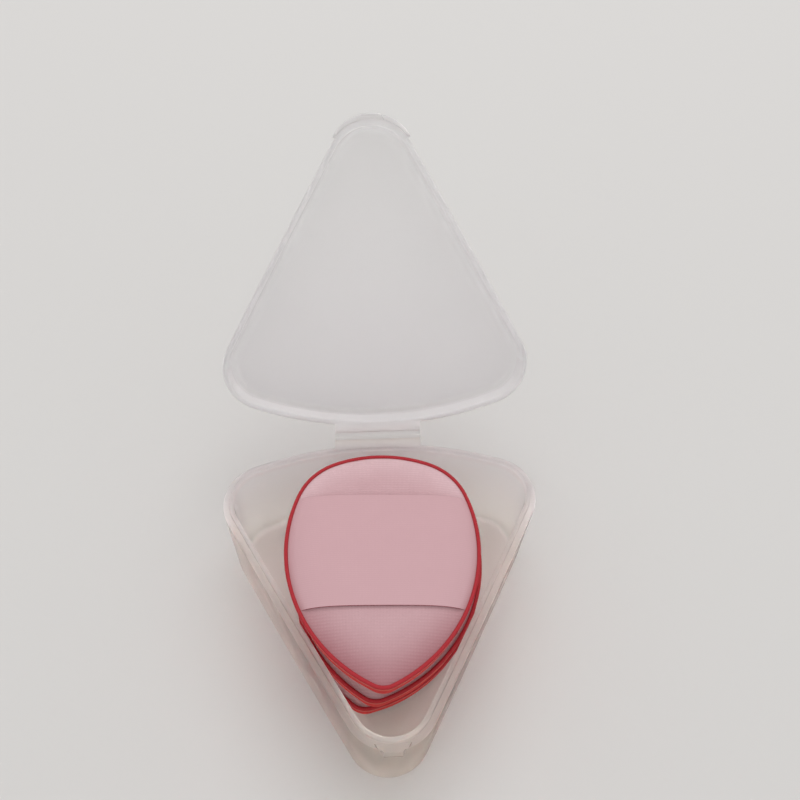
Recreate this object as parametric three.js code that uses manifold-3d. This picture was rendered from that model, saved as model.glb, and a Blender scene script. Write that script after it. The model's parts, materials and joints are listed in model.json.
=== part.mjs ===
// A pocket case with three finger puffs. The rounded triangular tray and lid are joined by a thin
// bending hinge, and three padded teardrop puffs lie stacked in the tray, fanned a little apart.
// Millimetres, +Z up. The origin is on the underside of the tray, near the middle of its plan.
// The apex of the case points to -Y and the hinge is at the +Y edge. The lid stands open.
import * as THREE from 'three';
import { mergeVertices } from 'three/addons/utils/BufferGeometryUtils.js';
import Module from 'manifold-3d';

const wasm = await Module();
wasm.setup();

// Puff plan: a teardrop of tangent arcs, its tip at -Y
const puffLength = 53.6;
const puffTipRadius = 5.1;
const puffShoulderRadius = 14.2;
const puffShoulderSpan = 11.5; // between the centres of the two shoulder arcs
const puffSideRadius = 34;
const puffBackRadius = 30;

// Puff layers, from the working face up
const coverHeight = 6.9; // face to the top edge of the cover
const coverThickness = 0.8;
const coverRound = 4.2; // height of the rounding between face and side
const coverDraw = 0.17; // share of the plan that the rounding takes in
const faceCrown = 0.5; // middle of the face below its edge
const sideSet = 0.5; // side of the cover inside the welt's outer edge
const sideDraw = 0.4; // cover drawn in again under the welt
const weltWidth = 1.1;
const weltHeight = 1.2;
const clothThickness = 0.6;
const clothCrown = 1.2; // middle of the back above its edge
const ribbonWidth = 25.5;
const ribbonThickness = 0.5;
const ribbonAhead = 2.6; // middle of the ribbon behind the middle of the puff, towards +Y
const softGap = 0.3; // between neighbouring soft pieces

// How the puffs lie in the tray, bottom first: the middle of the plan and the turn in degrees
const puffPlaces = [
  { name: 'bottom', x: 0.6, y: 4.2, turn: -14.3 },
  { name: 'middle', x: 0.5, y: 3.3, turn: -8.3 },
  { name: 'top', x: -0.35, y: 3.2, turn: -2.3 },
];

// Case plan: a rounded triangle set round the puffs
const sideAngle = 29.55; // degrees from each side to the middle line
const puffRoom = 0.15; // nearest puff to the side walls
const backRoom = 0.8; // nearest puff to the back wall
const caseApexRadius = 10.2;
const caseCornerRadius = 10;
const caseSideRadius = 2000; // the sides are all but straight
const caseBackRadius = 84;

// Tray
const trayWall = 2.4;
const trayDraft = 0.5; // base drawn in from the rim
const floorThickness = 1.4;
const baseEdgeRadius = 1;
const floorEdgeRadius = 1.2;
const lipHeight = 1; // raised inner lip above the ledge
const rimChamfer = 0.25;
const puffProud = 2.9; // top welt above the ledge

// Lid
const lidWall = 1.2;
const lidTopThickness = 1.2;
const lidDraft = 0.4;
const lidEdgeRadius = 2.4;
const lidCoveRadius = 2.2;
const lidHeadroom = 1.2; // top ribbon to the closed lid
const lidOpenAngle = 130; // degrees from closed
const seatGap = 0.25; // closed lid above the ledge
const lipGap = 0.2; // tray's lip to the lid's wall

// Catch on the tray's apex, and the lid's thumb lip that comes down over it
const catchRootWidth = 6.4;
const catchTipWidth = 3.8;
const catchReach = 0.7;
const catchTopReach = 0.15;
const catchHeight = 1.8;
const catchDrop = 0.3; // top of the catch below the ledge
const thumbLipWidth = 18;
const thumbLipReach = 1.4;
const thumbLipDrop = 2.4;
const thumbLipRise = 2.2;
const catchGap = 0.25; // thumb lip to the tray and its catch

// Bending hinge: a tab on the tray, a tab on the lid and a thin web between them
const hingeWidth = 20.2;
const hingeReach = 2.3; // axis behind the case's back edge
const hingeRoot = 1; // tabs run this far into the walls
const tabThickness = 1;
const webThickness = 0.35;
const webReach = 0.6; // web to each side of the axis
const webGap = 0.15; // web to the ends of the tabs

// Fineness of the facets
const arcStep = THREE.MathUtils.degToRad(10);
const roundSteps = 3;
const ribbonSteps = 12;
const weltSides = 6;
const domeScales = [0.35, 0.7, 0.9];

// Levels that follow from the sizes above
const ledgeWidth = lidWall + lipGap;
const weltBottom = coverHeight + softGap;
const weltTop = weltBottom + weltHeight;
const clothEdge = weltBottom + weltHeight / 2 + clothThickness / 2;
const clothInset = weltWidth + softGap;
const puffHeight = clothEdge + clothCrown + softGap + ribbonThickness;
const puffPitch = puffHeight + softGap;
const puffLevel = (index) => floorThickness + softGap + index * puffPitch;
const topPuff = puffPlaces.length - 1;
const ledgeHeight = puffLevel(topPuff) + weltTop - puffProud;
const lidInside = puffLevel(topPuff) + puffHeight + lidHeadroom - ledgeHeight - seatGap;
const lidDepth = lidInside + lidTopThickness;

// Outlines

const bearing = (from, to) => Math.atan2(to.y - from.y, to.x - from.x);

// Arcs of a closed outline through circles that each touch the next from inside
function tangentArcs(circles) {
  const joint = (a, b) => (a.r > b.r ? bearing(a, b) : bearing(b, a));
  return circles.map((circle, index) => {
    const from = joint(circles.at(index - 1), circle);
    let to = joint(circle, circles[(index + 1) % circles.length]);
    while (to < from) to += 2 * Math.PI;
    return { ...circle, from, to };
  });
}

// Circle of radius r that holds circles a and b and touches both, on the left of the way from a to b
function holdingCircle(a, b, r) {
  const gap = Math.hypot(b.x - a.x, b.y - a.y);
  const along = (gap ** 2 + (r - a.r) ** 2 - (r - b.r) ** 2) / (2 * gap);
  const across = Math.sqrt((r - a.r) ** 2 - along ** 2);
  const unit = { x: (b.x - a.x) / gap, y: (b.y - a.y) / gap };
  return { x: a.x + unit.x * along - unit.y * across, y: a.y + unit.y * along + unit.x * across, r };
}

// Six arcs from a tip circle, a right-hand corner circle, a back circle and a side radius
function roundedTriangle(tip, corner, back, sideRadius) {
  const side = holdingCircle(tip, corner, sideRadius);
  const mirror = (circle) => ({ ...circle, x: -circle.x });
  return tangentArcs([tip, side, corner, back, mirror(corner), mirror(side)]);
}

// Points of an outline, drawn in by inset and then shrunk about the origin
function outline(arcs, inset = 0, scale = 1) {
  return arcs.flatMap(({ x, y, r, from, to }) => {
    const steps = Math.max(1, Math.ceil((to - from) / arcStep));
    const points = new THREE.ArcCurve(x, y, r - inset, from, to, false).getPoints(steps).slice(0, -1);
    return points.map((point) => point.multiplyScalar(scale));
  });
}

const atHeight = (points, z) => points.map((point) => new THREE.Vector3(point.x, point.y, z));

function puffPlan() {
  const tip = { x: 0, y: puffTipRadius - puffLength / 2, r: puffTipRadius };
  const back = { x: 0, y: puffLength / 2 - puffBackRadius, r: puffBackRadius };
  const shoulder = { x: puffShoulderSpan / 2, r: puffShoulderRadius };
  shoulder.y = back.y + Math.sqrt((back.r - shoulder.r) ** 2 - shoulder.x ** 2);
  return roundedTriangle(tip, shoulder, back, puffSideRadius);
}

const puffArcs = puffPlan();

// How far the tray's outside and inside are drawn in at a height
const trayOutset = (z) => trayDraft * (1 - z / ledgeHeight);
const trayInset = (z) => trayWall + trayOutset(Math.min(z, ledgeHeight));

// The case's outline clears every puff, at the height of its welt, by the rooms given above
function casePlan() {
  const angle = THREE.MathUtils.degToRad(sideAngle);
  let sideReach = 0;
  let backReach = 0;
  puffPlaces.forEach((place, index) => {
    const inset = trayInset(puffLevel(index) + weltBottom);
    for (const point of outline(puffArcs)) {
      point.rotateAround(new THREE.Vector2(), THREE.MathUtils.degToRad(place.turn));
      const x = Math.abs(point.x + place.x);
      const y = point.y + place.y;
      sideReach = Math.max(sideReach, x * Math.cos(angle) - y * Math.sin(angle) + inset + puffRoom);
      backReach = Math.max(backReach, y + inset + backRoom);
    }
  });
  const tip = { x: 0, y: (caseApexRadius - sideReach) / Math.sin(angle), r: caseApexRadius };
  const back = { x: 0, y: backReach - caseBackRadius, r: caseBackRadius };
  const corner = cornerBetween(angle, sideReach - caseCornerRadius, back);
  return { arcs: roundedTriangle(tip, corner, back, caseSideRadius), tip, backReach };
}

// Corner circle that touches a side line and the back arc
function cornerBetween(angle, lineReach, back) {
  const reach = back.r - caseCornerRadius;
  const offset = lineReach + back.y * Math.sin(angle);
  const along = Math.sqrt(reach ** 2 - offset ** 2);
  const x = offset * Math.cos(angle) + along * Math.sin(angle);
  const y = back.y - offset * Math.sin(angle) + along * Math.cos(angle);
  return { x, y, r: caseCornerRadius };
}

const { arcs: caseArcs, tip: caseTip, backReach: caseBack } = casePlan();
const caseApex = caseTip.y - caseTip.r;
const hingeAxis = new THREE.Vector3(0, caseBack + hingeReach, ledgeHeight + seatGap / 2);

// Geometry

// Closed skin through rings of equal counts, each counterclockwise as seen from the next ring.
// The two end rings are closed with caps or, for a ring-shaped piece, joined to each other.
function skin(rings, joined = false) {
  const count = rings[0].length;
  const positions = rings.flat().flatMap((point) => point.toArray());
  const index = [];
  const pairs = joined ? rings.length : rings.length - 1;
  for (let ring = 0; ring < pairs; ring++) {
    const low = ring * count;
    const high = ((ring + 1) % rings.length) * count;
    for (let i = 0; i < count; i++) {
      const next = (i + 1) % count;
      index.push(low + i, low + next, high + next, low + i, high + next, high + i);
    }
  }
  if (!joined) {
    const last = (rings.length - 1) * count;
    for (const [a, b, c] of THREE.ShapeUtils.triangulateShape(rings[0], [])) index.push(c, b, a);
    for (const [a, b, c] of THREE.ShapeUtils.triangulateShape(rings.at(-1), [])) {
      index.push(last + a, last + b, last + c);
    }
  }
  const geometry = new THREE.BufferGeometry();
  geometry.setAttribute('position', new THREE.Float32BufferAttribute(positions, 3));
  geometry.setIndex(index);
  return geometry;
}

function toSolid(geometry) {
  const bare = geometry.clone();
  bare.deleteAttribute('normal');
  bare.deleteAttribute('uv');
  const merged = mergeVertices(bare);
  const vertProperties = Float32Array.from(merged.attributes.position.array);
  const triVerts = Uint32Array.from(merged.index.array);
  return new wasm.Manifold(new wasm.Mesh({ numProp: 3, vertProperties, triVerts }));
}

function toGeometry(solid) {
  const mesh = solid.getMesh();
  const geometry = new THREE.BufferGeometry();
  geometry.setAttribute('position', new THREE.Float32BufferAttribute(mesh.vertProperties, 3));
  geometry.setIndex(Array.from(mesh.triVerts));
  return geometry;
}

function box(low, high) {
  const size = new THREE.Vector3().subVectors(high, low);
  const middle = new THREE.Vector3().addVectors(low, high).multiplyScalar(0.5);
  return new THREE.BoxGeometry(size.x, size.y, size.z).translate(middle.x, middle.y, middle.z);
}

// Quarter turns of a rounded edge, from 0 to 1 across and from 0 to 1 up
const quarterTurn = Array.from({ length: roundSteps + 1 }, (_, step) => {
  const angle = (step / roundSteps) * (Math.PI / 2);
  return { across: Math.sin(angle), up: 1 - Math.cos(angle) };
});

// Tray

function trayShell() {
  const rings = [];
  const add = (inset, z) => rings.push(atHeight(outline(caseArcs, inset), z));
  for (const { across, up } of quarterTurn) {
    add(trayOutset(baseEdgeRadius) + baseEdgeRadius * (1 - across), baseEdgeRadius * up);
  }
  const lipTop = ledgeHeight + lipHeight;
  add(trayOutset(ledgeHeight - rimChamfer), ledgeHeight - rimChamfer);
  add(rimChamfer, ledgeHeight);
  add(ledgeWidth, ledgeHeight);
  add(ledgeWidth, lipTop - rimChamfer);
  add(ledgeWidth + rimChamfer, lipTop);
  add(trayWall - rimChamfer, lipTop);
  add(trayWall, lipTop - rimChamfer);
  for (const { across, up } of [...quarterTurn].reverse()) {
    const foot = trayInset(floorThickness + floorEdgeRadius);
    add(foot + floorEdgeRadius * (1 - across), floorThickness + floorEdgeRadius * up);
  }
  return skin(rings);
}

// Trapezium that stands out of the apex wall, further at its foot than at its top
function catchRing(reach, grow, z) {
  const root = catchRootWidth / 2 + grow;
  const tip = catchTipWidth / 2 + grow;
  const front = caseApex - reach - grow;
  const back = caseApex + trayWall / 2;
  const corners = [[-root, back], [-tip, front], [tip, front], [root, back]];
  return corners.map(([x, y]) => new THREE.Vector3(x, y, z));
}

function trayCatch() {
  const top = ledgeHeight - catchDrop;
  return skin([catchRing(catchReach, 0, top - catchHeight), catchRing(catchTopReach, 0, top)]);
}

// Hinge tab from inside a wall to short of the axis, between two heights
function hingeTab(low, high) {
  const start = caseBack - hingeRoot;
  const end = hingeAxis.y - webReach - webGap;
  return box(new THREE.Vector3(-hingeWidth / 2, start, low), new THREE.Vector3(hingeWidth / 2, end, high));
}

function trayGeometry() {
  const tab = hingeTab(ledgeHeight - tabThickness, ledgeHeight);
  return toGeometry(toSolid(trayShell()).add(toSolid(trayCatch())).add(toSolid(tab)));
}

// Lid, worked out closed over the tray and then set on the hinge axis

const lidRim = ledgeHeight + seatGap;
const lidOutset = (z) => (lidDraft * z) / lidDepth;

function lidShell() {
  const rings = [];
  const add = (inset, z) => rings.push(atHeight(outline(caseArcs, inset), lidRim + z));
  const coveFoot = lidInside - lidCoveRadius;
  for (const { across, up } of quarterTurn) {
    add(lidWall + lidOutset(coveFoot) + lidCoveRadius * (1 - across), lidInside - lidCoveRadius * up);
  }
  add(lidWall, rimChamfer);
  add(lidWall - rimChamfer, 0);
  add(rimChamfer, 0);
  add(0, rimChamfer);
  const edgeFoot = lidDepth - lidEdgeRadius;
  for (const { across, up } of [...quarterTurn].reverse()) {
    add(lidOutset(edgeFoot) + lidEdgeRadius * (1 - across), lidDepth - lidEdgeRadius * up);
  }
  return skin(rings);
}

// Band round the apex between two radii and two heights, as wide as the thumb lip
function apexBand(inner, outer, low, high) {
  const turn = Math.asin(thumbLipWidth / 2 / (caseApexRadius + thumbLipReach));
  const down = -Math.PI / 2;
  const shape = new THREE.Shape();
  shape.absarc(caseTip.x, caseTip.y, outer, down - turn, down + turn, false);
  shape.absarc(caseTip.x, caseTip.y, inner, down + turn, down - turn, true);
  const steps = Math.ceil((2 * turn) / arcStep);
  const settings = { depth: high - low, bevelEnabled: false, curveSegments: steps };
  return new THREE.ExtrudeGeometry(shape, settings).translate(0, 0, low);
}

function thumbLip() {
  const outer = caseApexRadius + thumbLipReach;
  const low = lidRim - thumbLipDrop;
  const skirt = apexBand(caseApexRadius + catchGap, outer, low, lidRim + thumbLipRise / 2);
  const root = apexBand(caseApexRadius - lidWall / 2, outer, lidRim, lidRim + thumbLipRise);
  const slotFoot = catchRing(catchReach, catchGap, low - seatGap);
  const slotHead = catchRing(catchReach, catchGap, ledgeHeight - catchDrop + catchGap);
  return toSolid(skirt).add(toSolid(root)).subtract(toSolid(skin([slotFoot, slotHead])));
}

function lidGeometry() {
  const tab = hingeTab(lidRim, lidRim + tabThickness);
  const solid = toSolid(lidShell()).add(thumbLip()).add(toSolid(tab));
  return toGeometry(solid).translate(-hingeAxis.x, -hingeAxis.y, -hingeAxis.z);
}

// Hinge web, bent to the open lid: two short legs that meet at the axis

function webGeometry() {
  const open = THREE.MathUtils.degToRad(lidOpenAngle);
  const half = seatGap / 2;
  const back = half + webThickness;
  const flat = (y, z) => new THREE.Vector2(y, z);
  const turned = (y, z) => flat(y, z).rotateAround(new THREE.Vector2(), -open);
  const shape = new THREE.Shape([
    flat(-webReach, -half),
    flat(0, -half),
    turned(0, half),
    turned(-webReach, half),
    turned(-webReach, back),
    turned(0, back),
    flat(0, -back),
    flat(-webReach, -back),
  ]);
  const geometry = new THREE.ExtrudeGeometry(shape, { depth: hingeWidth, bevelEnabled: false });
  const sideways = new THREE.Matrix4().makeBasis(
    new THREE.Vector3(0, 1, 0),
    new THREE.Vector3(0, 0, 1),
    new THREE.Vector3(1, 0, 0),
  );
  return geometry.applyMatrix4(sideways).translate(-hingeWidth / 2, 0, 0);
}

// Puff pieces, with the face at z = 0

const puffRing = (inset, scale, z) => atHeight(outline(puffArcs, inset, scale), z);

// Rings of a rounded bottom, from the flat middle of the face up to the side
function faceRings(inset, lift) {
  const [middle, out] = domeScales;
  const rings = [puffRing(inset, middle, lift), puffRing(inset, out, lift + faceCrown / 2)];
  for (const { across, up } of quarterTurn) {
    const height = (coverRound - lift) * up;
    rings.push(puffRing(inset, 1 - coverDraw * (1 - across), lift + faceCrown + height));
  }
  return rings;
}

// Height of a crowned sheet above its edge, where scale is 1 at the edge and 0 in the middle
const crownAt = (scale) => clothCrown * (1 - scale ** 2);

function crownRings(inset, edge) {
  return domeScales.map((scale) => puffRing(inset, scale, edge + crownAt(scale)));
}

function coverGeometry() {
  const inner = sideSet + coverThickness;
  const outside = faceRings(sideSet, 0);
  const inside = faceRings(inner, coverThickness);
  const topOutside = puffRing(sideSet + sideDraw, 1, coverHeight);
  const topInside = puffRing(inner + sideDraw, 1, coverHeight);
  return skin([...outside, topOutside, topInside, ...inside.reverse()]);
}

function foamGeometry() {
  const inset = sideSet + coverThickness + softGap;
  const top = clothEdge - clothThickness - softGap;
  const bottom = faceRings(inset, coverThickness + softGap);
  const shoulder = puffRing(inset + sideDraw, 1, top);
  return skin([...bottom, shoulder, ...crownRings(inset + sideDraw, top).reverse()]);
}

function clothGeometry() {
  const under = clothEdge - clothThickness;
  const edges = [puffRing(clothInset, 1, under), puffRing(clothInset, 1, clothEdge)];
  return skin([...crownRings(clothInset, under), ...edges, ...crownRings(clothInset, clothEdge).reverse()]);
}

function weltGeometry() {
  const rings = [];
  for (let side = 0; side < weltSides; side++) {
    const angle = (2 * Math.PI * (side + 0.5)) / weltSides;
    const inset = (weltWidth / 2) * (1 - Math.cos(angle));
    rings.push(puffRing(inset, 1, weltBottom + (weltHeight / 2) * (1 + Math.sin(angle))));
  }
  return skin(rings, true);
}

// The ribbon arches over the back and ends at the welt
function ribbonGeometry() {
  const edge = outline(puffArcs, clothInset);
  const half = Math.max(...edge.map((point) => point.x));
  const low = clothEdge + softGap;
  const high = low + ribbonThickness;
  const shape = new THREE.Shape();
  shape.moveTo(-half, low);
  shape.quadraticCurveTo(0, low + 2 * clothCrown, half, low);
  shape.lineTo(half, high);
  shape.quadraticCurveTo(0, high + 2 * clothCrown, -half, high);
  const settings = { depth: ribbonWidth, bevelEnabled: false, curveSegments: ribbonSteps };
  const arch = new THREE.ExtrudeGeometry(shape, settings);
  arch.rotateX(Math.PI / 2).translate(0, ribbonAhead + ribbonWidth / 2, 0);
  const plug = { depth: puffHeight + softGap, bevelEnabled: false };
  const room = new THREE.ExtrudeGeometry(new THREE.Shape(edge), plug);
  return toGeometry(toSolid(arch).intersect(toSolid(room)));
}

// Assembly

function piece(name, geometry, color, roughness) {
  const material = new THREE.MeshStandardMaterial({ color, roughness, metalness: 0 });
  const mesh = new THREE.Mesh(geometry, material);
  mesh.name = name;
  return mesh;
}

const colours = {
  case: 0xd9d3d0,
  cover: 0xb8323a,
  foam: 0xf2dfd8,
  cloth: 0xe0b2ba,
  welt: 0xb52c36,
  ribbon: 0xdfadb6,
};

function puff({ name, x, y, turn }, index) {
  const group = new THREE.Group();
  group.add(piece(`${name}_puff_cover`, coverGeometry(), colours.cover, 0.7));
  group.add(piece(`${name}_puff_foam`, foamGeometry(), colours.foam, 0.95));
  group.add(piece(`${name}_puff_back_cloth`, clothGeometry(), colours.cloth, 0.85));
  group.add(piece(`${name}_puff_edge_welt`, weltGeometry(), colours.welt, 0.6));
  group.add(piece(`${name}_puff_ribbon`, ribbonGeometry(), colours.ribbon, 0.6));
  group.position.set(x, y, puffLevel(index));
  group.rotation.z = THREE.MathUtils.degToRad(turn);
  return group;
}

const set = new THREE.Group();
set.add(piece('tray', trayGeometry(), colours.case, 0.4));

const web = piece('hinge_web', webGeometry(), colours.case, 0.4);
web.position.copy(hingeAxis);
set.add(web);

const lidPivot = new THREE.Group();
lidPivot.position.copy(hingeAxis);
lidPivot.rotation.x = -THREE.MathUtils.degToRad(lidOpenAngle);
lidPivot.add(piece('lid', lidGeometry(), colours.case, 0.4));
set.add(lidPivot);

set.add(...puffPlaces.map(puff));

export default set;
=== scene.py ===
"""Looks of three finger puffs lying in their hinged case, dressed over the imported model."""
import json
import math

import bmesh
import bpy
from mathutils import Matrix, Vector
from mathutils.kdtree import KDTree


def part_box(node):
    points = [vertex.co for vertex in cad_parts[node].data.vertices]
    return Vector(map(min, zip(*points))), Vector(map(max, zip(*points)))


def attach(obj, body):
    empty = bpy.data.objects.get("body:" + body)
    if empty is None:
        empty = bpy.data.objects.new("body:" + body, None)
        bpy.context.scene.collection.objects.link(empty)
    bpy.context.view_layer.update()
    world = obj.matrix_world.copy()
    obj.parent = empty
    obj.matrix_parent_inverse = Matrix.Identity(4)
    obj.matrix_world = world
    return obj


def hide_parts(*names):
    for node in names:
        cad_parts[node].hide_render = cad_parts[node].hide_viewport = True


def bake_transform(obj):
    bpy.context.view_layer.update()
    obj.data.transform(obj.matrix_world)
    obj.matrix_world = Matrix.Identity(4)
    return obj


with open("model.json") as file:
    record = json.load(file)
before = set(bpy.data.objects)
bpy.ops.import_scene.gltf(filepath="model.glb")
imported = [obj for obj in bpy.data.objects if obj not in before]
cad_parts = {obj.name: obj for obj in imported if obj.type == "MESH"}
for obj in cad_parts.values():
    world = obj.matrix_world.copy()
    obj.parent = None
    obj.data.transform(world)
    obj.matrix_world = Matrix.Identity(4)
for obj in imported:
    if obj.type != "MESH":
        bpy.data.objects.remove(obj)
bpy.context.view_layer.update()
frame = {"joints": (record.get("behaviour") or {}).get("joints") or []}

# Sizes are in millimetres and become metres when a mesh is made
MM = 0.001
MERGE = 0.002  # points closer than this are one

# Case plan
SIDE_ANGLE = math.radians(29.55)
APEX_RADIUS = 10.2
CORNER_RADIUS = 10.0
SIDE_RADIUS = 2000.0
BACK_RADIUS = 84.0

# Tray and lid
TRAY_WALL = 2.4
TRAY_DRAFT = 0.5
FLOOR = 1.4
LIP_HEIGHT = 1.0
LID_WALL = 1.2
LID_TOP = 1.2
LID_DEPTH = 6.75
LID_DRAFT = 0.4
LIP_GAP = 0.2
SEAT_GAP = 0.25
CAP_REACH = 5.0  # flat faces run this far in from their rounded edges before they are closed
FOOT_ROUND = 1.0
LEDGE_ROUND = 0.35
LIP_ROOT_ROUND = 0.2
LIP_OUTER_ROUND = 0.3
LIP_INNER_ROUND = 0.35
FLOOR_ROUND = 1.2
RIM_ROUND = 0.5
LID_INNER_ROUND = 2.2
LID_OUTER_ROUND = 2.4
LIT_WALL_START = 20.0  # the lid takes a milkier copy of its plastic, which paints light on it, beyond this distance along the case
LIT_WALL_HEIGHT = 4.2  # and up to this height above its rim

# Painted shade: shifts of the case's colour by place. A zone is where a shift starts and where it is full,
# along the case.
BACK_ZONE = (0.0, 25.0)
BACK_FOOT_SHADE = (0.907, 0.98, 0.98)
BACK_WALL_SHADE = (0.87, 0.9, 0.935)
BACK_LIP_SHADE = (0.98, 0.93, 0.93)
FRONT_ZONE = (-5.0, -25.0)
FRONT_LIP_SHADE = (0.9, 0.89, 0.88)
APEX_ZONE = (-22.0, -32.0)
APEX_SHADE = (0.87, 0.87, 0.84)
LID_BACK_ZONE = (10.0, 22.0)
LID_HINGE_SHADE = (0.9, 0.885, 0.905)
LID_SIDE_ZONE = (25.0, 10.0)
LID_WALL_SHADE = (0.83, 0.815, 0.815)
FOOT_RISE = 1.0  # the foot's tone is full this far above the floor
LIP_DROP = 0.2  # the lip's tone is full from this far below the ledge
LID_BACK_DROP = 0.3  # the lid's painted shade towards the hinge has gone this far below its inside, down the back wall
LID_SIDE_DROP = (0.5, 1.5)  # the painted shade of the lid's side walls starts and is full this far below its inside

# Catch, thumb lip and hinge
CATCH_ROOT = 6.4
CATCH_TIP = 3.8
CATCH_REACH = 0.7
CATCH_TOP_REACH = 0.15
CATCH_HEIGHT = 1.8
CATCH_DROP = 0.3
CATCH_GAP = 0.25
CATCH_EDGE = 0.5
CATCH_FLARE = 0.5
THUMB_LIP_WIDTH = 18.0
THUMB_LIP_REACH = 1.4
THUMB_LIP_END = 0.6
THUMB_LIP_DROP = 2.4
THUMB_LIP_RISE = 2.2
THUMB_LIP_ROUND = 0.1
THUMB_LIP_TIP_ROUND = 0.15
THUMB_LIP_TOP_ROUND = 0.3
HINGE_WIDTH = 20.2
HINGE_REACH = 2.3
HINGE_ROOT = 1.0
TAB_THICKNESS = 1.0
TAB_END = 0.75  # tabs end this far from the axis
TAB_ROUND = 0.12
WEB_THICKNESS = 0.45
WEB_FOLD_THICKNESS = 0.25
WEB_BEND = 0.35
WEB_OVERLAP = 0.1
WEB_INSET = 0.1

# Puffs, with the working face at z = 0
PUFF_LENGTH = 53.6
PUFF_TIP_RADIUS = 5.1
PUFF_SHOULDER_RADIUS = 14.2
PUFF_SHOULDER_SPAN = 11.5
PUFF_SIDE_RADIUS = 34.0
PUFF_BACK_RADIUS = 30.0
FACE_CROWN = 0.5
FACE_ROUND = 3.8
FACE_DRAW = 0.15
SIDE_SET = 0.35
SIDE_DRAW = 0.35
SIDE_SWELL = 0.3
COVER_TOP = 7.1
WELT_BOTTOM = 6.9
WELT_TOP = 8.4
WELT_WIDTH = 0.85
WELT_LEAN = 0.1
WELT_FOOT_ROUND = 0.15
WELT_OUTER_ROUND = 0.4
WELT_INNER_ROUND = 0.3
WELT_HIGHLIGHT_INSET = 0.12  # the painted highlight is on the part of the outer side within this inset
WELT_HIGHLIGHT_DROP = 0.8  # and from this far below the top
CLOTH_INSET = 0.6
CLOTH_EDGE = 7.55
CLOTH_EDGE_BACK = 8.05
CLOTH_EDGE_ZONE = (-10.0, 20.0)  # the edge goes from its front height to its back height here
CLOTH_TOP = 9.85
CLOTH_FULLNESS = 2.2  # higher is fuller: the crown is flatter in the middle and steeper at the edge
CLOTH_THICKNESS = 0.4
CLOTH_RIM = 0.66  # painted shade and light change the cloth's colour near its rim, where the pad rises less than this share
CLOTH_DEPTH = 0.4  # depth of the cloth's colour in the middle, from 0, pale, to 1, deep
TOP_FRONT_SHADE = 0.6  # painted shade at the front rim of the top puff, as a change of depth
COVERED_FRONT_LIGHT = -0.4  # painted light at the front rim of the puffs under it, as a change of depth
BACK_RIM_LIGHT = -0.4  # painted light at the back rim, as a change of depth
FRONT_DEPTH_ZONE = (0.0, -22.0)
BACK_DEPTH_ZONE = (8.0, 20.0)
CLOTH_SHADE = (0.62, 0.42, 0.44)
RIBBON_WIDTH = 25.5
RIBBON_AHEAD = 2.6
RIBBON_LIFT = 0.18
RIBBON_THICKNESS = 0.3
RIBBON_TUCK = 1.8  # the ribbon sinks to the cloth over this last stretch of its ends
RIBBON_SINK = 0.05
RIBBON_EDGE_POWER = 8  # higher keeps the raised part closer to the ribbon's edges
RIBBON_SHARP = math.radians(50)
PUFF_PLACES = {
    "bottom": (0.6, 4.2, -14.3),
    "middle": (0.5, 3.3, -8.3),
    "top": (-0.35, 3.2, -2.3),
}

# Swelling of the pads: the cloth is simulated at a larger scale, where the solver is steady
SWELL_SCALE = 20.0
SWELL_VOXEL = 1.0
SWELL_PRESSURE = 4.0
SWELL_FRAMES = 20
HELD_WIDTH = 1.3
HELD_DEPTH = 0.5
CROWN = 4.0  # the pad is highest this far along the puff
NEIGHBOURS = 24  # points that a movement is averaged over

# Camera, fitted to the photograph
PHOTO_PIXELS = 800.0
LENS_PIXELS = 900.0
SENSOR = 36.0
EYE = Vector((-6.6, -75.1, 209.8))
TARGET = Vector((7.8, 65.7, 0.0))
ROLL = math.radians(3.11)

# Places taken from the frame
lid_joint = next(joint for joint in frame["joints"] if joint["name"] == "lid_hinge")
HINGE = Vector(lid_joint["pos_m"]) / MM
LID_OPEN = math.radians(-lid_joint["range_deg"][0])
LEDGE = HINGE.z - SEAT_GAP / 2
LID_RIM = HINGE.z + SEAT_GAP / 2
CASE_BACK = HINGE.y - HINGE_REACH
CASE_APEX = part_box("tray")[0].y / MM + CATCH_REACH
TONE_END = CASE_BACK + 0.1  # the hinge's tabs lie beyond this and keep their plain colour


# Outlines

def bearing(a, b):
    return math.atan2(b[1] - a[1], b[0] - a[0])


def holding_circle(a, b, radius):
    """Circle that holds circles a and b and touches both, on the left of the way from a to b."""
    gap = math.hypot(b[0] - a[0], b[1] - a[1])
    along = (gap ** 2 + (radius - a[2]) ** 2 - (radius - b[2]) ** 2) / (2 * gap)
    across = math.sqrt((radius - a[2]) ** 2 - along ** 2)
    ux = (b[0] - a[0]) / gap
    uy = (b[1] - a[1]) / gap
    return (a[0] + ux * along - uy * across, a[1] + uy * along + ux * across, radius)


def rounded_triangle(tip, corner, back, side_radius):
    """Arcs (x, y, radius, from, to) of a closed outline of six tangent circles."""
    side = holding_circle(tip, corner, side_radius)
    circles = [tip, side, corner, back, (-corner[0], *corner[1:]), (-side[0], *side[1:])]

    def joint(a, b):
        return bearing(a, b) if a[2] > b[2] else bearing(b, a)

    arcs = []
    for index, circle in enumerate(circles):
        start = joint(circles[index - 1], circle)
        end = joint(circle, circles[(index + 1) % len(circles)])
        while end < start:
            end += 2 * math.pi
        arcs.append((*circle, start, end))
    return arcs


def outline(arcs, inset=0.0, scale=1.0, step=math.radians(3), longest=2.0):
    """Points of an outline, drawn in by inset and then shrunk about the origin."""
    points = []
    for x, y, radius, start, end in arcs:
        turn = end - start
        steps = math.ceil(max(turn / step, turn * radius / longest))
        for i in range(steps):
            angle = start + turn * i / steps
            reach = radius - inset
            points.append(((x + reach * math.cos(angle)) * scale, (y + reach * math.sin(angle)) * scale))
    return points


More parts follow.
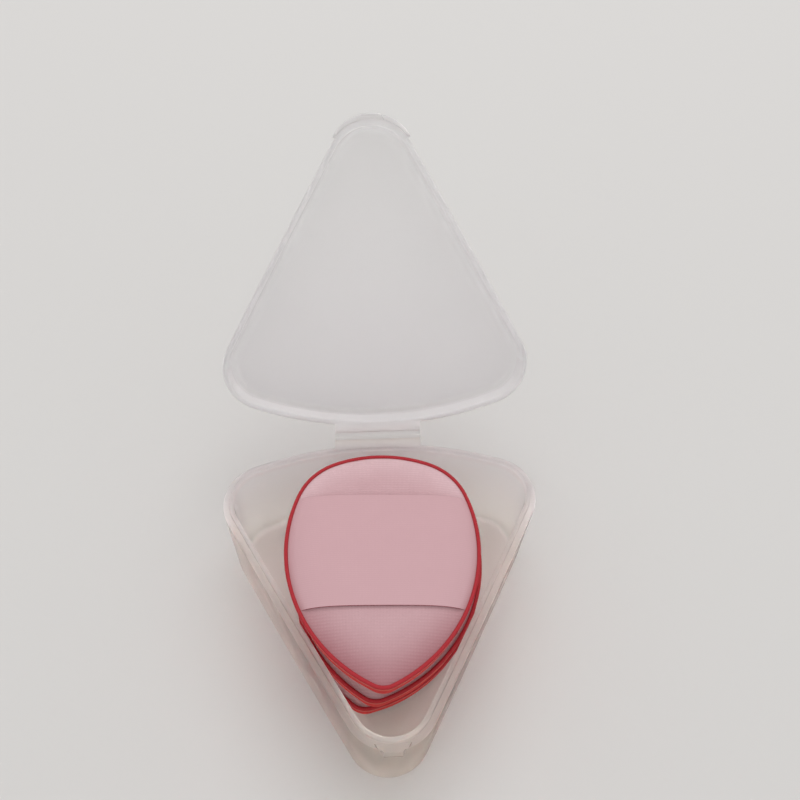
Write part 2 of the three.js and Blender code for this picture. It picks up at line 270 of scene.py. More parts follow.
def case_plan():
    tip = (0.0, CASE_APEX + APEX_RADIUS, APEX_RADIUS)
    back = (0.0, CASE_BACK - BACK_RADIUS, BACK_RADIUS)
    line = APEX_RADIUS - tip[1] * math.sin(SIDE_ANGLE) - CORNER_RADIUS
    offset = line + back[1] * math.sin(SIDE_ANGLE)
    along = math.sqrt((BACK_RADIUS - CORNER_RADIUS) ** 2 - offset ** 2)
    x = offset * math.cos(SIDE_ANGLE) + along * math.sin(SIDE_ANGLE)
    y = back[1] - offset * math.sin(SIDE_ANGLE) + along * math.cos(SIDE_ANGLE)
    return rounded_triangle(tip, (x, y, CORNER_RADIUS), back, SIDE_RADIUS)


def puff_plan():
    tip = (0.0, PUFF_TIP_RADIUS - PUFF_LENGTH / 2, PUFF_TIP_RADIUS)
    back = (0.0, PUFF_LENGTH / 2 - PUFF_BACK_RADIUS, PUFF_BACK_RADIUS)
    x = PUFF_SHOULDER_SPAN / 2
    y = back[1] + math.sqrt((PUFF_BACK_RADIUS - PUFF_SHOULDER_RADIUS) ** 2 - x ** 2)
    return rounded_triangle(tip, (x, y, PUFF_SHOULDER_RADIUS), back, PUFF_SIDE_RADIUS)


CASE = case_plan()
PUFF = puff_plan()


def filleted(corners, closed=False, steps=5):
    """Points of a profile whose corners (a, b, radius) are rounded. An open profile keeps its ends."""
    points = []
    for index, (a, b, radius) in enumerate(corners):
        here = Vector((a, b))
        at_end = not closed and index in (0, len(corners) - 1)
        if radius == 0 or at_end:
            points.append(here)
            continue
        before = (Vector(corners[index - 1][:2]) - here).normalized()
        after = (Vector(corners[(index + 1) % len(corners)][:2]) - here).normalized()
        half = before.angle(after) / 2
        centre = here + (before + after).normalized() * (radius / math.sin(half))
        start = here + before * (radius / math.tan(half)) - centre
        end = here + after * (radius / math.tan(half)) - centre
        turn = math.atan2(start.x * end.y - start.y * end.x, start.dot(end))
        for i in range(steps + 1):
            points.append(centre + Matrix.Rotation(turn * i / steps, 2) @ start)
    return points


def eased(low, high, value):
    share = min(max((value - low) / (high - low), 0), 1)
    return share * share * (3 - 2 * share)


# Meshes

def new_mesh(name, points, faces):
    mesh = bpy.data.meshes.new(name)
    mesh.from_pydata([Vector(point) * MM for point in points], [], faces)
    mesh.shade_smooth()
    return mesh


def loft(name, rings, joined=False):
    """Closed skin through rings of equal counts. The end rings are capped, or joined to each other."""
    count = len(rings[0])
    faces = []
    for ring in range(len(rings) if joined else len(rings) - 1):
        low = ring * count
        high = ((ring + 1) % len(rings)) * count
        for i in range(count):
            j = (i + 1) % count
            faces.append((low + i, low + j, high + j, high + i))
    if not joined:
        last = (len(rings) - 1) * count
        faces.append(tuple(reversed(range(count))))
        faces.append(tuple(range(last, last + count)))
    return new_mesh(name, [point for ring in rings for point in ring], faces)


def add(name, mesh):
    piece = bpy.data.objects.new(name, mesh)
    bpy.context.scene.collection.objects.link(piece)
    return piece


def combine(base, extra, operation):
    """Joins base with extra, or cuts it by extra, which is used up. Faces keep their materials.

    An extra without a material takes the base's first one.
    """
    if not extra.data.materials:
        extra.data.materials.append(base.data.materials[0])
    modifier = base.modifiers.new("combine", "BOOLEAN")
    modifier.operation = operation
    modifier.object = extra
    modifier.solver = "EXACT"
    modifier.material_mode = "TRANSFER"
    graph = bpy.context.evaluated_depsgraph_get()
    mesh = bpy.data.meshes.new_from_object(base.evaluated_get(graph))
    clean = bmesh.new()
    clean.from_mesh(mesh)
    bmesh.ops.remove_doubles(clean, verts=clean.verts, dist=MERGE * MM)
    clean.to_mesh(mesh)
    clean.free()
    base.modifiers.clear()
    base.data = mesh
    bpy.data.objects.remove(extra)
    return base


def crisp(piece, degrees=35):
    """Smooth shading that keeps edges sharper than the angle."""
    piece.data.shade_smooth()
    piece.data.set_sharp_from_angle(angle=math.radians(degrees))
    return piece


def bevelled_box(name, low, high, radius):
    size = Vector(high) - Vector(low)
    middle = (Vector(high) + Vector(low)) / 2
    body = bmesh.new()
    bmesh.ops.create_cube(body, size=1, matrix=Matrix.Translation(middle) @ Matrix.Diagonal((*size, 1)))
    bmesh.ops.bevel(body, geom=body.edges[:], offset=radius, segments=3, affect="EDGES", profile=0.5)
    bmesh.ops.scale(body, vec=(MM, MM, MM), verts=body.verts)
    mesh = bpy.data.meshes.new(name)
    body.to_mesh(mesh)
    body.free()
    return mesh


# Case

def case_rings(profile, lift=0.0):
    return [[(x, y, z + lift) for x, y in outline(CASE, inset)] for inset, z in profile]


def catch_ring(reach, grow, z):
    root = CATCH_ROOT / 2 + grow
    tip = CATCH_TIP / 2 + grow
    front = CASE_APEX - reach - grow
    back = CASE_APEX + LID_WALL + LIP_GAP
    return [(-root, back, z), (-tip, front, z), (tip, front, z), (root, back, z)]


def catch_block(name, rings, plastic, edge_shade, shaded):
    """Loft through catch rings with a darker plastic on the side faces whose numbers are given: painted
    shade along the catch's edges.
    """
    mesh = loft(name, rings)
    mesh.materials.append(plastic)
    mesh.materials.append(edge_shade)
    for number in shaded:
        mesh.polygons[number].material_index = 1
    return add(name, mesh)


def hinge_tab(name, low, high):
    half = HINGE_WIDTH / 2
    start = (-half, CASE_BACK - HINGE_ROOT, low)
    end = (half, HINGE.y - TAB_END, high)
    return add(name, bevelled_box(name, start, end, TAB_ROUND))


def write_tone(mesh, tone):
    """Writes a colour shift for each point: the product of a tone's shifts, each taken by its share."""
    colors = mesh.attributes.new("tone", "FLOAT_COLOR", "POINT")
    for vertex, value in zip(mesh.vertices, colors.data):
        color = [1.0, 1.0, 1.0]
        for share, shift in tone(*(vertex.co.yz / MM)):
            color = [c * (1 - share * (1 - s)) for c, s in zip(color, shift)]
        value.color = (*color, 1)


def tray_tone(y, z):
    """Painted shade: the tray is cooler and darker up its back wall, and darker along its lip and at its
    apex.
    """
    back = eased(*BACK_ZONE, y) if y < TONE_END else 0
    height = min(max((z - FLOOR) / (LEDGE - FLOOR), 0), 1)
    foot = eased(FLOOR, FLOOR + FOOT_RISE, z) * (1 - height)
    lip = eased(LEDGE - LIP_HEIGHT, LEDGE - LIP_DROP, z)
    return [
        (back * foot, BACK_FOOT_SHADE),
        (back * height, BACK_WALL_SHADE),
        (back * lip, BACK_LIP_SHADE),
        (eased(*FRONT_ZONE, y) * lip, FRONT_LIP_SHADE),
        (eased(*APEX_ZONE, y) * (1 - lip), APEX_SHADE),
    ]


def lid_tone(y, z):
    """Painted shade: the lid's top darkens evenly towards its hinge. Its side walls are darker, and its back
    wall plain.
    """
    inside = LID_RIM + LID_DEPTH - LID_TOP
    along = (y - CASE_APEX) / (CASE_BACK - CASE_APEX) if y < TONE_END else 0
    back_wall = eased(*LID_BACK_ZONE, y) * eased(0, LID_BACK_DROP, inside - z)
    side_wall = eased(*LID_SIDE_ZONE, y) * eased(*LID_SIDE_DROP, inside - z)
    return [(along * (1 - back_wall), LID_HINGE_SHADE), (side_wall, LID_WALL_SHADE)]


def make_tray(plastic, edge_shade):
    ledge_width = LID_WALL + LIP_GAP
    lip_top = LEDGE + LIP_HEIGHT
    foot = TRAY_WALL + TRAY_DRAFT
    profile = filleted([
        (TRAY_DRAFT + CAP_REACH, 0, 0),
        (TRAY_DRAFT, 0, FOOT_ROUND),
        (TRAY_DRAFT * LIP_HEIGHT / LEDGE, LEDGE - LIP_HEIGHT, 0),
        (0, LEDGE, LEDGE_ROUND),
        (ledge_width, LEDGE, LIP_ROOT_ROUND),
        (ledge_width, lip_top, LIP_OUTER_ROUND),
        (TRAY_WALL, lip_top, LIP_INNER_ROUND),
        (TRAY_WALL + TRAY_DRAFT * 2 * LIP_HEIGHT / (lip_top - FLOOR), LEDGE - LIP_HEIGHT, 0),
        (foot, FLOOR, FLOOR_ROUND),
        (foot + CAP_REACH, FLOOR, 0),
    ])
    tray = add("tray_shell", loft("tray_shell", case_rings(profile)))
    tray.data.materials.append(plastic)
    top = LEDGE - CATCH_DROP
    low = top - CATCH_HEIGHT
    rings = [
        catch_ring(CATCH_REACH, 0, low),
        catch_ring(CATCH_REACH, 0, low + CATCH_EDGE),
        catch_ring(CATCH_TOP_REACH, 0, top),
    ]
    combine(tray, catch_block("catch", rings, plastic, edge_shade, (0, 1, 2, 4, 6)), "UNION")
    rings = [
        catch_ring(CATCH_REACH, CATCH_GAP, top),
        catch_ring(CATCH_REACH, CATCH_GAP + CATCH_FLARE, LEDGE + SEAT_GAP),
    ]
    combine(tray, catch_block("notch", rings, plastic, edge_shade, (0, 2)), "DIFFERENCE")
    combine(tray, hinge_tab("tray_tab", LEDGE - TAB_THICKNESS, LEDGE), "UNION")
    write_tone(tray.data, tray_tone)
    return crisp(tray)


def lip_section(reach):
    return filleted([
        (-LID_WALL / 2, 0, THUMB_LIP_ROUND),
        (CATCH_GAP, 0, THUMB_LIP_ROUND),
        (CATCH_GAP, -THUMB_LIP_DROP, THUMB_LIP_ROUND),
        (reach, -THUMB_LIP_DROP, THUMB_LIP_TIP_ROUND),
        (reach, THUMB_LIP_RISE, THUMB_LIP_TOP_ROUND),
        (-LID_WALL / 2, THUMB_LIP_RISE, THUMB_LIP_ROUND),
    ], closed=True)


def thumb_lip(plastic):
    """Lip swept round the apex, shallower at its ends, with a slot that clears the tray's catch."""
    turn = math.asin(THUMB_LIP_WIDTH / 2 / (APEX_RADIUS + THUMB_LIP_REACH))
    centre = Vector((0, CASE_APEX + APEX_RADIUS, LID_RIM))
    steps = 40
    rings = []
    for i in range(steps + 1):
        along = 2 * i / steps - 1
        angle = -math.pi / 2 + turn * along
        out = Vector((math.cos(angle), math.sin(angle), 0))
        reach = THUMB_LIP_REACH + (THUMB_LIP_END - THUMB_LIP_REACH) * along ** 2
        section = lip_section(reach)
        rings.append([centre + out * (APEX_RADIUS + far) + Vector((0, 0, z)) for far, z in section])
    lip = add("thumb_lip", loft("thumb_lip", rings))
    lip.data.materials.append(plastic)
    low = LID_RIM - THUMB_LIP_DROP - SEAT_GAP
    high = LEDGE - CATCH_DROP + CATCH_GAP
    slot = [catch_ring(CATCH_REACH, CATCH_GAP, low), catch_ring(CATCH_REACH, CATCH_GAP, high)]
    return combine(lip, add("slot", loft("slot", slot)), "DIFFERENCE")


def make_lid(plastic, lit_wall):
    """Lid with its thumb lip and tab, opened as packed. Its wall by the hinge and its tab take a milkier
    copy of its plastic, which paints light on them.
    """
    inner = LID_WALL + LID_DRAFT
    inside = LID_DEPTH - LID_TOP
    profile = filleted([
        (inner + CAP_REACH, inside, 0),
        (inner, inside, LID_INNER_ROUND),
        (LID_WALL, 0, RIM_ROUND),
        (0, 0, RIM_ROUND),
        (LID_DRAFT, LID_DEPTH, LID_OUTER_ROUND),
        (LID_DRAFT + CAP_REACH, LID_DEPTH, 0),
    ], steps=7)
    lid = add("lid_shell", loft("lid_shell", case_rings(profile, LID_RIM)))
    lid.data.materials.append(plastic)
    lid.data.materials.append(lit_wall)
    for polygon in lid.data.polygons:
        low = polygon.center.z < (LID_RIM + LIT_WALL_HEIGHT) * MM
        if low and polygon.center.y > LIT_WALL_START * MM:
            polygon.material_index = 1
    combine(lid, thumb_lip(plastic), "UNION")
    tab = hinge_tab("lid_tab", LID_RIM, LID_RIM + TAB_THICKNESS)
    tab.data.materials.append(lit_wall)
    combine(lid, tab, "UNION")
    write_tone(lid.data, lid_tone)
    axis = Matrix.Translation(HINGE * MM)
    lid.data.transform(axis @ Matrix.Rotation(-LID_OPEN, 4, "X") @ axis.inverted())
    return crisp(lid)


def make_web():
    """Thin strip from the tray's tab to the lid's tab, bent round the axis. Gives its two ends too."""
    reach = TAB_END + WEB_OVERLAP
    depth = SEAT_GAP / 2 + WEB_THICKNESS / 2
    bend = math.pi - LID_OPEN
    start = Vector((-reach, -depth))
    corner = Vector((depth * math.tan(bend / 2), -depth))
    end = corner + Matrix.Rotation(bend, 2) @ Vector((corner.x + reach, 0))
    line = filleted([(*start, 0), (*corner, WEB_BEND), (*end, 0)], steps=10)
    inside, outside = [], []
    for index, point in enumerate(line):
        ahead = line[min(index + 1, len(line) - 1)] - line[max(index - 1, 0)]
        across = Vector((-ahead.y, ahead.x)).normalized()
        at_fold = 0 < index < len(line) - 1
        half = (WEB_FOLD_THICKNESS if at_fold else WEB_THICKNESS) / 2
        inside.append(point + across * half)
        outside.append(point - across * half)
    section = [*outside, *reversed(inside)]
    half = HINGE_WIDTH / 2 - WEB_INSET
    rings = [[(x, HINGE.y + y, HINGE.z + z) for y, z in section] for x in (-half, half)]
    web = crisp(add("hinge_strip", loft("hinge_strip", rings)))
    ends = [(Vector((0, *point)) + HINGE) * MM for point in (start, end)]
    return web, ends


# Puffs

def puff_ring(inset, scale, z):
    return [(x, y, z) for x, y in outline(PUFF, inset, scale, math.radians(4), 1.0)]


PUFF_LINE = outline(PUFF, longest=0.5)


def edge_distance(x, y):
    return min(math.hypot(x - a, y - b) for a, b in PUFF_LINE)


def plain_pad():
    """Flat pad with a rounded face, before its filling pushes it out."""
    rings = [puff_ring(SIDE_SET, scale, FACE_CROWN) for scale in (0.05, 0.3, 0.6)]
    steps = 6
    for i in range(steps + 1):
        angle = math.pi / 2 * i / steps
        scale = 1 - FACE_DRAW * (1 - math.sin(angle))
        rings.append(puff_ring(SIDE_SET, scale, FACE_CROWN + FACE_ROUND * (1 - math.cos(angle))))
    rings.append(puff_ring(SIDE_SET, 1, COVER_TOP))
    rings.extend(puff_ring(CLOTH_INSET, scale, CLOTH_EDGE) for scale in (1, 0.6, 0.3, 0.05))
    return loft("plain_pad", rings)


def swell():
    """Cloth simulation of the pad, held at its pressed edge.

    Gives the resting points and how each moves, in millimetres.
    """
    pad = add("pad", plain_pad())
    pad.data.transform(Matrix.Scale(SWELL_SCALE, 4))
    remesh = pad.modifiers.new("remesh", "REMESH")
    remesh.mode = "VOXEL"
    remesh.voxel_size = SWELL_VOXEL * MM * SWELL_SCALE
    even = bpy.data.meshes.new_from_object(pad.evaluated_get(bpy.context.evaluated_depsgraph_get()))
    pad.modifiers.clear()
    pad.data = even
    unit = MM * SWELL_SCALE
    rest = [vertex.co / unit for vertex in even.vertices]
    held = [
        i for i, at in enumerate(rest)
        if at.z > COVER_TOP - HELD_DEPTH and edge_distance(at.x, at.y) < HELD_WIDTH
    ]
    pad.vertex_groups.new(name="held").add(held, 1, "REPLACE")
    cloth = pad.modifiers.new("cloth", "CLOTH")
    cloth.settings.vertex_group_mass = "held"
    cloth.settings.use_pressure = True
    cloth.settings.uniform_pressure_force = SWELL_PRESSURE
    cloth.settings.effector_weights.gravity = 0
    for number in range(1, SWELL_FRAMES + 1):
        bpy.context.scene.frame_set(number)
    swollen = pad.evaluated_get(bpy.context.evaluated_depsgraph_get()).to_mesh()
    moves = [vertex.co / unit - at for vertex, at in zip(swollen.vertices, rest)]
    bpy.data.objects.remove(pad)
    bpy.context.scene.frame_set(1)
    return rest, moves


PAD_POINTS, PAD_MOVES = swell()
PAD_TREE = KDTree(len(PAD_POINTS))
for number, point in enumerate(PAD_POINTS):
    PAD_TREE.insert(point, number)
PAD_TREE.balance()


def pad_move(x, y, z):
    """Smoothed movement of the pad at a point."""
    total = Vector()
    weights = 0.0
    for _, number, distance in PAD_TREE.find_n((x, y, z), NEIGHBOURS):
        weight = math.exp(-(distance / SWELL_VOXEL) ** 2 / 2)
        total += PAD_MOVES[number] * weight
        weights += weight
    return total / weights


PAD_RISE = pad_move(0, CROWN, CLOTH_EDGE).z
PAD_BULGE = max(math.hypot(move.x, move.y) for move in PAD_MOVES)


def rise_share(x, y):
    """How far the pad's back has risen at a point, as a share of its crown."""
    return min(max(pad_move(x, y, CLOTH_EDGE).z / PAD_RISE, 0), 1)


def cloth_height(x, y):
    """Height of the swollen back at a point of the puff's plan."""
    edge = CLOTH_EDGE + (CLOTH_EDGE_BACK - CLOTH_EDGE) * eased(*CLOTH_EDGE_ZONE, y)
    return CLOTH_TOP - (CLOTH_TOP - edge) * (1 - rise_share(x, y)) ** CLOTH_FULLNESS


def half_width(y):
    """Half the width of the back at a distance along the puff."""
    points = outline(PUFF, CLOTH_INSET)
    best = 0.0
    for (x0, y0), (x1, y1) in zip(points, points[1:] + points[:1]):
        if min(y0, y1) <= y <= max(y0, y1) and y0 != y1:
            best = max(best, x0 + (x1 - x0) * (y - y0) / (y1 - y0))
    return best


def cover_mesh():
    """Red face and side, pushed out by the filling and drawn in under the pressed edge."""
    rings = []
    edge = 1 - FACE_DRAW
    for scale in (0.03, 0.2, 0.4, 0.6, 0.72):
        rings.append(puff_ring(SIDE_SET, scale, FACE_CROWN * (scale / edge) ** 2))
    steps = 9
    for i in range(steps + 1):
        angle = math.pi / 2 * i / steps
        scale = 1 - FACE_DRAW * (1 - math.sin(angle))
        rings.append(puff_ring(SIDE_SET, scale, FACE_CROWN + FACE_ROUND * (1 - math.cos(angle))))
    side = FACE_CROWN + FACE_ROUND
    steps = 6
    for i in range(1, steps + 1):
        t = i / steps
        rings.append(puff_ring(SIDE_SET + SIDE_DRAW * t ** 2, 1, side + (COVER_TOP - side) * t))
    for ring in rings:
        for number, (x, y, z) in enumerate(ring):
            move = pad_move(x, y, z) * (SIDE_SWELL / PAD_BULGE)
            ring[number] = (x + move.x, y + move.y, z)
    rings.append(puff_ring(WELT_WIDTH, 1, COVER_TOP))
    return loft("puff_velour", rings)


def cloth_mesh(front_light_and_shade):
    """Pink back that carries painted shade and light near its rim as the depth of its colour, with a change
    of its own at the front rim.
    """
    scales = [0.03, 0.15, 0.3, 0.45, 0.6, 0.72, 0.8, 0.86, 0.91, 0.95, 0.975, 1.0]
    rings = [puff_ring(CLOTH_INSET, scale, 0) for scale in scales]
    top = [[(x, y, cloth_height(x, y)) for x, y, z in ring] for ring in rings]
    under = [[(x, y, z - CLOTH_THICKNESS) for x, y, z in ring] for ring in top]
    mesh = loft("puff_back", [*under, *reversed(top)])
    depth = mesh.attributes.new("depth", "FLOAT", "POINT")
    for vertex, value in zip(mesh.vertices, depth.data):
        x, y = vertex.co.xy / MM
        near = max(1 - rise_share(x, y) / CLOTH_RIM, 0)
        front = front_light_and_shade * eased(*FRONT_DEPTH_ZONE, y)
        back = BACK_RIM_LIGHT * eased(*BACK_DEPTH_ZONE, y)
        value.value = CLOTH_DEPTH + near * (front + back)
    return mesh


def welt_mesh():
    """Pressed edge round the back. The outer side below its outer round takes the second material, a painted
    highlight.
    """
    section = filleted([
        (WELT_LEAN, WELT_BOTTOM, WELT_FOOT_ROUND),
        (0, WELT_TOP, WELT_OUTER_ROUND),
        (WELT_WIDTH, WELT_TOP, WELT_INNER_ROUND),
        (WELT_WIDTH, WELT_BOTTOM, WELT_FOOT_ROUND),
    ], closed=True)
    mesh = loft("puff_welt", [puff_ring(inset, 1, z) for inset, z in section], joined=True)
    count = len(mesh.vertices) // len(section)
    for polygon in mesh.polygons:
        ends = [section[(polygon.index // count + i) % len(section)] for i in range(2)]
        outer = max(inset for inset, z in ends) < WELT_HIGHLIGHT_INSET
        if outer and min(z for inset, z in ends) < WELT_TOP - WELT_HIGHLIGHT_DROP:
            polygon.material_index = 1
    return mesh


def ribbon_mesh():
    """Ribbon stretched across the back, standing off it at both edges, which take the second material, a
    painted shadow line.
    """
    columns, rows = 60, 20
    top, under = [], []
    for row in range(rows + 1):
        v = 0.5 - 0.5 * math.cos(math.pi * row / rows)
        y = RIBBON_AHEAD + RIBBON_WIDTH * (v - 0.5)
        half = half_width(y)
        edge = (2 * v - 1) ** RIBBON_EDGE_POWER
        for column in range(columns + 1):
            x = -half * math.cos(math.pi * column / columns)
            free = eased(CLOTH_INSET, CLOTH_INSET + RIBBON_TUCK, edge_distance(x, y))
            z = cloth_height(x, y) + RIBBON_LIFT * (1 + edge) * free
            under.append((x, y, z - RIBBON_THICKNESS * (1 - free)))
            top.append((x, y, z + RIBBON_THICKNESS * free - RIBBON_SINK * (1 - free)))
    width = columns + 1
    size = len(top)
    faces = []
    for row in range(rows):
        for column in range(columns):
            a = row * width + column
            faces.append((a, a + 1, a + 1 + width, a + width))
            faces.append((size + a, size + a + width, size + a + 1 + width, size + a + 1))
    bottom_row = list(range(width))
    right = [row * width + columns for row in range(rows + 1)]
    top_row = [rows * width + column for column in range(columns, -1, -1)]
    left = [row * width for row in range(rows, -1, -1)]
    woven_faces = len(faces)
    for side in (bottom_row, top_row, right, left):
        for a, b in zip(side, side[1:]):
            faces.append((b, a, size + a, size + b))
    mesh = new_mesh("puff_band", [*top, *under], faces)
    for polygon in mesh.polygons[woven_faces:woven_faces + 2 * columns]:
        polygon.material_index = 1
    return mesh


# Materials

def shader(name, color, roughness, **inputs):
    """A new material with its nodes, links and principled shader."""
    material = bpy.data.materials.new(name)
    material.use_nodes = True
    nodes = material.node_tree.nodes
    principled = nodes["Principled BSDF"]
    principled.inputs["Base Color"].default_value = (*color, 1)
    principled.inputs["Roughness"].default_value = roughness
    for key, value in inputs.items():
        principled.inputs[key.replace("_", " ")].default_value = value
    return material, nodes, material.node_tree.links, principled


def textured(nodes, links, kind, scale, **settings):
    """A texture node fed with object coordinates."""
    place = nodes.new("ShaderNodeTexCoord")
    node = nodes.new(kind)
    node.inputs["Scale"].default_value = scale
    for key, value in settings.items():
        if key in node.inputs:
            node.inputs[key].default_value = value
        else:
            setattr(node, key, value)
    links.new(place.outputs["Object"], node.inputs["Vector"])
    return node


def bands(nodes, links, pitch, direction):
    """Parallel ribs at a pitch in millimetres across the X or Y direction."""
    turns = 20 / (2 * math.pi)  # ribs of the texture in one unit at a scale of 1
    return textured(nodes, links, "ShaderNodeTexWave", 1 / (turns * pitch * MM), bands_direction=direction)


def color_between(nodes, links, factor, low, high):
    ramp = nodes.new("ShaderNodeValToRGB")
    ramp.color_ramp.elements[0].color = (*low, 1)
    ramp.color_ramp.elements[1].color = (*high, 1)
    links.new(factor, ramp.inputs["Fac"])
    return ramp.outputs["Color"]


def bumped(nodes, links, principled, height, distance, strength=1.0):
    bump = nodes.new("ShaderNodeBump")
    bump.inputs["Strength"].default_value = strength
    bump.inputs["Distance"].default_value = distance * MM
    links.new(height, bump.inputs["Height"])
    links.new(bump.outputs["Normal"], principled.inputs["Normal"])


def product(nodes, links, a, b):
    """Product of two values."""
    node = nodes.new("ShaderNodeMath")
    node.operation = "MULTIPLY"
    links.new(a, node.inputs[0])
    links.new(b, node.inputs[1])
    return node.outputs[0]


def multiplied(nodes, links, a, b):
    """Product of two colours."""
    mix = nodes.new("ShaderNodeMix")
    mix.data_type = "RGBA"
    mix.blend_type = "MULTIPLY"
    mix.inputs["Factor"].default_value = 1
    links.new(a, mix.inputs["A"])
    links.new(b, mix.inputs["B"])
    return mix.outputs["Result"]


def written(nodes, name):
    """A value that the mesh itself carries."""
    node = nodes.new("ShaderNodeAttribute")
    node.attribute_name = name
    return node


def frosted_plastic(name, clear, ior, roughness, spread, tint, takes_painted_shade=False):
    """Milky plastic that blurs what lies behind it. It may take painted shade from the mesh's own tone."""
    material, nodes, links, principled = shader(
        name, tint, roughness, Transmission_Weight=clear, IOR=ior,
        Subsurface_Weight=1.0, Subsurface_Radius=(1.0, 1.0, 1.0), Subsurface_Scale=spread)
    cloud = textured(nodes, links, "ShaderNodeTexNoise", scale=60, Detail=2.0)
    color = color_between(nodes, links, cloud.outputs["Fac"], [0.985 * t for t in tint], tint)
    if takes_painted_shade:
        color = multiplied(nodes, links, color, written(nodes, "tone").outputs["Color"])
    links.new(color, principled.inputs["Base Color"])
    grain = textured(nodes, links, "ShaderNodeTexNoise", scale=3000, Detail=2.0)
    bumped(nodes, links, principled, grain.outputs["Fac"], distance=0.01, strength=0.08)
    return material


def warm_body(material, color, density):
    """Makes a plastic warmer where it is thicker."""
    nodes = material.node_tree.nodes
    body = nodes.new("ShaderNodeVolumeAbsorption")
    body.inputs["Color"].default_value = (*color, 1)
    body.inputs["Density"].default_value = density
    material.node_tree.links.new(body.outputs["Volume"], nodes["Material Output"].inputs["Volume"])


def woven(name, dark, light, pitch, yarn, depth, roughness, paint_light_and_shade=False):
    """Cloth with ribs across the puff and finer yarns along it. It may take painted shade and light from the
    mesh's own depth.
    """
    material, nodes, links, principled = shader(
        name, light, roughness, Sheen_Weight=0.2, Sheen_Roughness=0.4,
        Sheen_Tint=(1.0, 0.6, 0.62, 1.0), Specular_IOR_Level=0.15)
    ribs = bands(nodes, links, pitch, "Y")
    yarns = bands(nodes, links, yarn, "X")
    weave = product(nodes, links, ribs.outputs["Fac"], yarns.outputs["Fac"])
    cloud = textured(nodes, links, "ShaderNodeTexNoise", scale=250, Detail=4.0)
    tone = product(nodes, links, weave, cloud.outputs["Fac"])
    color = color_between(nodes, links, tone, dark, light)
    if paint_light_and_shade:
        painted_share = written(nodes, "depth").outputs["Fac"]
        shade = color_between(nodes, links, painted_share, (1, 1, 1), CLOTH_SHADE)
        color = multiplied(nodes, links, color, shade)
    links.new(color, principled.inputs["Base Color"])
    bumped(nodes, links, principled, weave, depth)
    return material


def velour():
    material, nodes, links, principled = shader(
        "red_velour", (0.55, 0.045, 0.05), 0.75, Sheen_Weight=0.35, Sheen_Roughness=0.4,
        Sheen_Tint=(1.0, 0.2, 0.15, 1.0), Specular_IOR_Level=0.1)
    pile = textured(nodes, links, "ShaderNodeTexNoise", scale=2500, Detail=3.0)
    color = color_between(nodes, links, pile.outputs["Fac"], (0.46, 0.03, 0.035), (0.64, 0.06, 0.06))
    links.new(color, principled.inputs["Base Color"])
    bumped(nodes, links, principled, pile.outputs["Fac"], distance=0.08)
    return material


def pressed_edge(name, dark, light, roughness):
    material, nodes, links, principled = shader(name, light, roughness, Specular_IOR_Level=0.2)
    press = textured(nodes, links, "ShaderNodeTexNoise", scale=1800, Detail=3.0)
    color = color_between(nodes, links, press.outputs["Fac"], dark, light)
    links.new(color, principled.inputs["Base Color"])
    bumped(nodes, links, principled, press.outputs["Fac"], distance=0.05, strength=0.6)
    return material


# Dressing the case
# The tray's warmer tint is partly its plastic's own, partly a painted reflection of red light from the
# puffs.
thick_plastic = frosted_plastic("frosted_tray", clear=0.88, ior=1.1, roughness=0.9, spread=0.005,
                                tint=(0.991, 0.951, 0.922), takes_painted_shade=True)
warm_body(thick_plastic, color=(0.9, 0.42, 0.2), density=7)
# Darker plastic for the catch's and notch's side faces: painted shade.
shaded_plastic = frosted_plastic("frosted_flank", clear=0.3, ior=1.2, roughness=0.8, spread=0.002,
                                 tint=(0.5, 0.43, 0.4))
thin_plastic = frosted_plastic("frosted_lid", clear=0.55, ior=1.1, roughness=0.9, spread=0.06,
                               tint=(0.99, 0.978, 0.978), takes_painted_shade=True)
# Milkier copy of the lid's plastic for its wall by the hinge and its tab: painted light.
lit_wall_plastic = frosted_plastic("frosted_lit_wall", clear=0.45, ior=1.1, roughness=0.9, spread=0.004,
                                tint=(0.9, 0.875, 0.875))
web_plastic = frosted_plastic("frosted_web", clear=0.98, ior=1.03, roughness=0.9, spread=0.02,
                              tint=(0.99, 0.985, 0.982))

tray = make_tray(thick_plastic, shaded_plastic)
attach(tray, "tray")
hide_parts("tray")

lid = make_lid(thin_plastic, lit_wall_plastic)
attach(lid, "lid")
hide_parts("lid")

web, web_ends = make_web()
web.data.materials.append(web_plastic)
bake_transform(web)
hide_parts("hinge_web")

# Dressing the puffs
looks = {
    "cover": [velour()],
    "back_cloth": [woven("pink_back", dark=(0.69, 0.468, 0.493), light=(0.90, 0.67, 0.70),
                         pitch=0.65, yarn=0.3, depth=0.07, roughness=0.8, paint_light_and_shade=True)],
    "edge_welt": [pressed_edge("pressed_edge", (0.36, 0.018, 0.026), (0.46, 0.03, 0.04), roughness=0.6),
                  # the second is a painted highlight
                  pressed_edge("welt_highlight", (0.48, 0.06, 0.05), (0.58, 0.09, 0.07), roughness=0.5)],
    "ribbon": [woven("pink_ribbon", dark=(0.60, 0.37, 0.395), light=(0.67, 0.425, 0.455),
                     pitch=0.45, yarn=0.3, depth=0.02, roughness=0.7),
               # painted shadow line along the ribbon's edges
               pressed_edge("ribbon_edge_shadow", (0.35, 0.09, 0.105), (0.43, 0.12, 0.14), roughness=0.8)],
}
meshes = {
    "cover": cover_mesh(),
    "back_cloth": cloth_mesh(TOP_FRONT_SHADE),
    "edge_welt": welt_mesh(),
    "ribbon": ribbon_mesh(),
}
# the puffs under the top one take painted light at their front rim
covered_back = cloth_mesh(COVERED_FRONT_LIGHT)
for key, mesh in [*meshes.items(), ("back_cloth", covered_back)]:
    for material in looks[key]:
        mesh.materials.append(material)
meshes["ribbon"].set_sharp_from_angle(angle=RIBBON_SHARP)

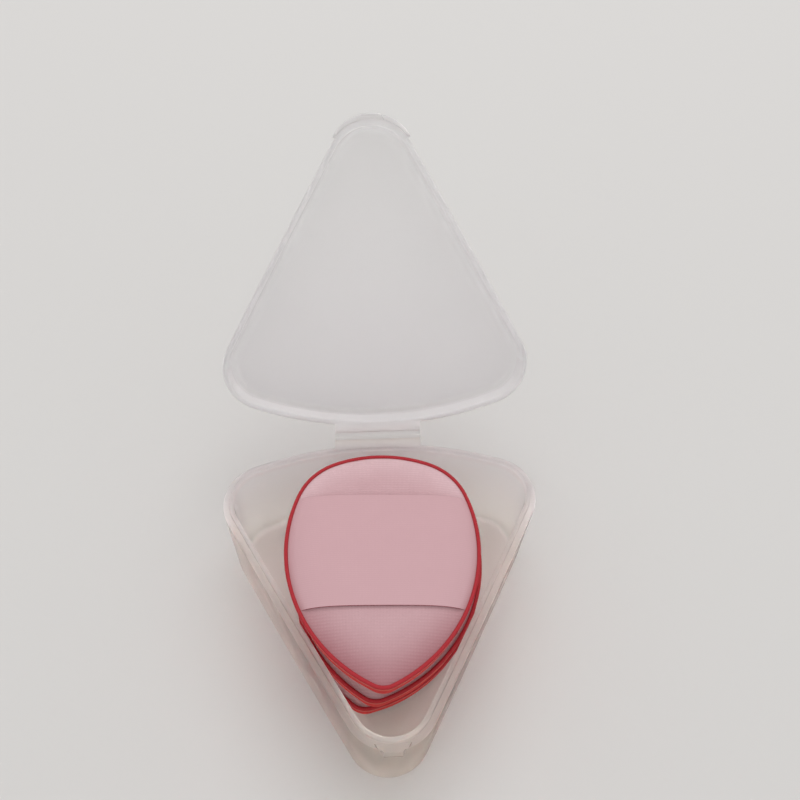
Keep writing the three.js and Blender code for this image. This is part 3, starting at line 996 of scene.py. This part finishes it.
for level, (x, y, turn) in PUFF_PLACES.items():
    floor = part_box(f"{level}_puff_cover")[0].z
    place = Matrix.Translation((x * MM, y * MM, floor)) @ Matrix.Rotation(math.radians(turn), 4, "Z")
    for key, mesh in meshes.items():
        covered = key == "back_cloth" and level != "top"
        piece = add(f"{level}_{mesh.name}", covered_back if covered else mesh)
        piece.matrix_world = place
        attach(piece, f"puff_{level}")
        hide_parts(f"{level}_puff_{key}")
    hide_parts(f"{level}_puff_foam")


# Stage

def make_floor():
    """Wide floor, a little above the case's underside so that no gap shows under it."""
    size = 10.0
    z = 0.05 * MM
    corners = [(-size, -size, z), (size, -size, z), (size, size, z), (-size, size, z)]
    mesh = bpy.data.meshes.new("floor")
    mesh.from_pydata(corners, [], [(0, 1, 2, 3)])
    floor = add("floor", mesh)
    mesh.materials.append(shader("paper", (0.67, 0.655, 0.64), roughness=0.9)[0])


def area_light(name, place, aim, size, power):
    light = bpy.data.lights.new(name, "AREA")
    light.shape = "DISK"
    light.size = size
    light.energy = power
    lamp = bpy.data.objects.new(name, light)
    lamp.location = place
    lamp.rotation_euler = (Vector(aim) - Vector(place)).to_track_quat("-Z", "Y").to_euler()
    bpy.context.scene.collection.objects.link(lamp)


def make_camera():
    back = (EYE - TARGET).normalized()
    right = Vector((0, 0, 1)).cross(back).normalized()
    up = back.cross(right)
    turn = Matrix.Rotation(ROLL, 3, back)
    camera = bpy.data.cameras.new("camera")
    camera.sensor_width = SENSOR
    camera.lens = SENSOR * LENS_PIXELS / PHOTO_PIXELS
    camera.clip_start = 0.01
    eye = bpy.data.objects.new("camera", camera)
    axes = Matrix((turn @ right, turn @ up, back)).transposed()
    eye.matrix_world = Matrix.Translation(EYE * MM) @ axes.to_4x4()
    bpy.context.scene.collection.objects.link(eye)
    bpy.context.scene.camera = eye


def make_world(front, back):
    """Soft light from all round, stronger from the camera's side than from behind the object."""
    world = bpy.data.worlds.new("studio")
    world.use_nodes = True
    nodes = world.node_tree.nodes
    links = world.node_tree.links
    place = nodes.new("ShaderNodeTexCoord")
    parts = nodes.new("ShaderNodeSeparateXYZ")
    links.new(place.outputs["Generated"], parts.inputs["Vector"])
    share = nodes.new("ShaderNodeMapRange")
    share.inputs["From Min"].default_value = -1
    links.new(parts.outputs["Y"], share.inputs["Value"])
    tent = color_between(nodes, links, share.outputs["Result"], (front,) * 3, (back,) * 3)
    links.new(tent, nodes["Background"].inputs["Color"])
    bpy.context.scene.world = world


make_floor()
area_light("overhead", place=(0.1, 0.7, 1.3), aim=(0, 0.02, 0), size=1.3, power=8.5)
make_camera()
make_world(front=0.85, back=0.55)
bpy.context.scene.view_settings.view_transform = "Standard"
